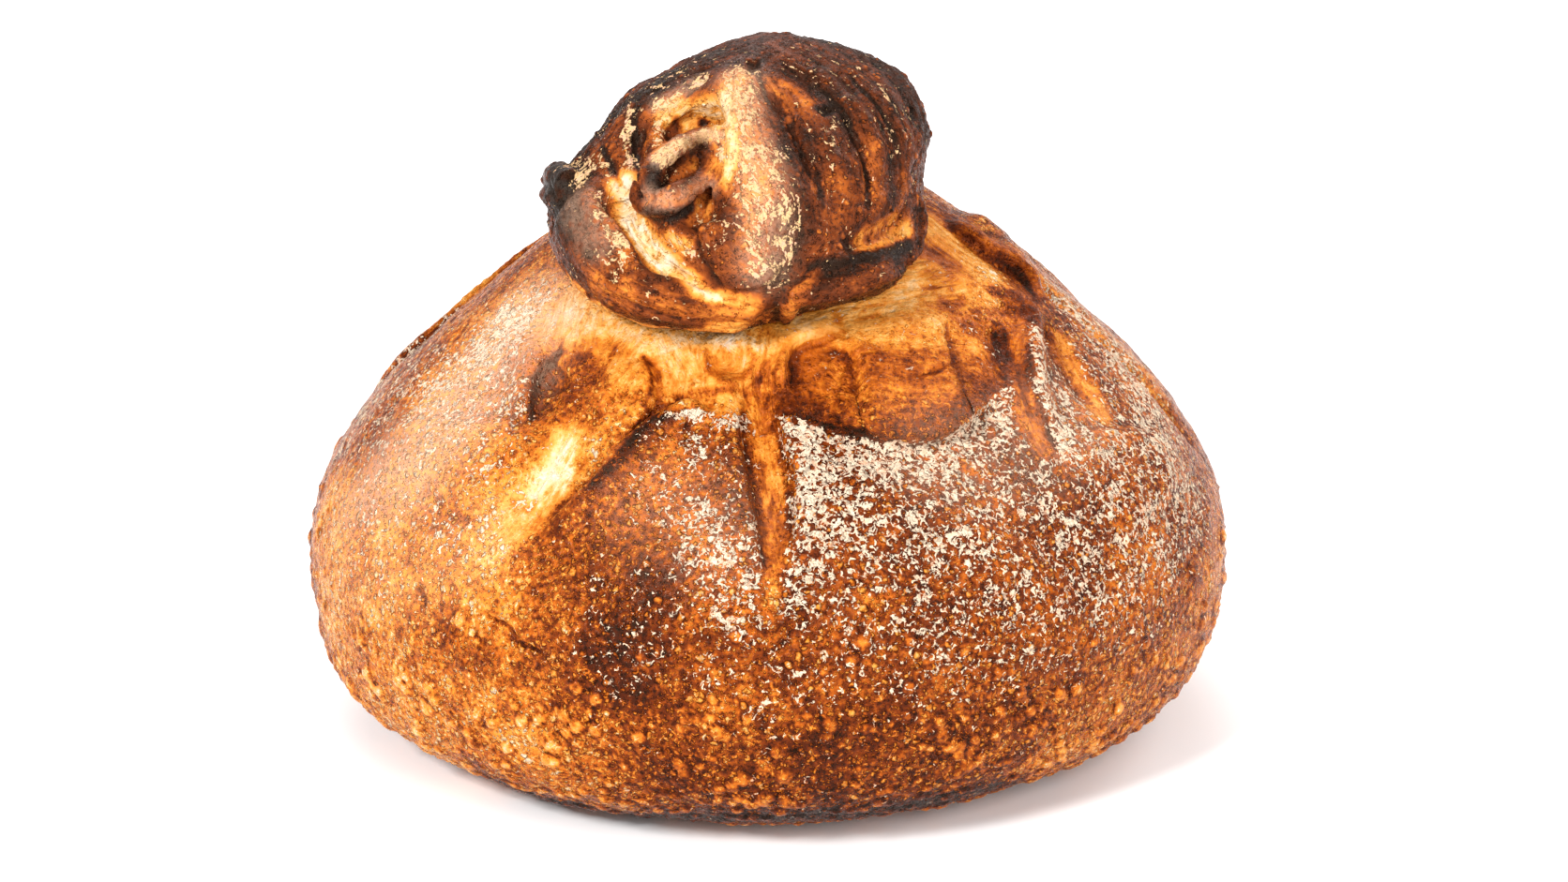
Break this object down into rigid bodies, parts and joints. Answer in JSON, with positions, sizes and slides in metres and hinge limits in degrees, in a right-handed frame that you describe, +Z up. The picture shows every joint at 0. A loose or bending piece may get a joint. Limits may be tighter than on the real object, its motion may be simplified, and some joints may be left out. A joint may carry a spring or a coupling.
{
  "type": "country loaf",
  "caption": "Round country loaf with a twisted topknot baked onto its crown, dark crust, torn folds and floured sides.",
  "frame": {"origin": "middle of the flat base that the loaf rests on", "axes": "+Z up through the topknot; the shown face, with the curl of the topknot, looks towards -Y"},
  "size_m": [0.2611, 0.2508, 0.1982],
  "materials": {
    "crust": "baked crust, blistered and dusted with flour"
  },
  "bodies": {
    "root": {"loaf": "crust"}
  },
  "joints": []
}
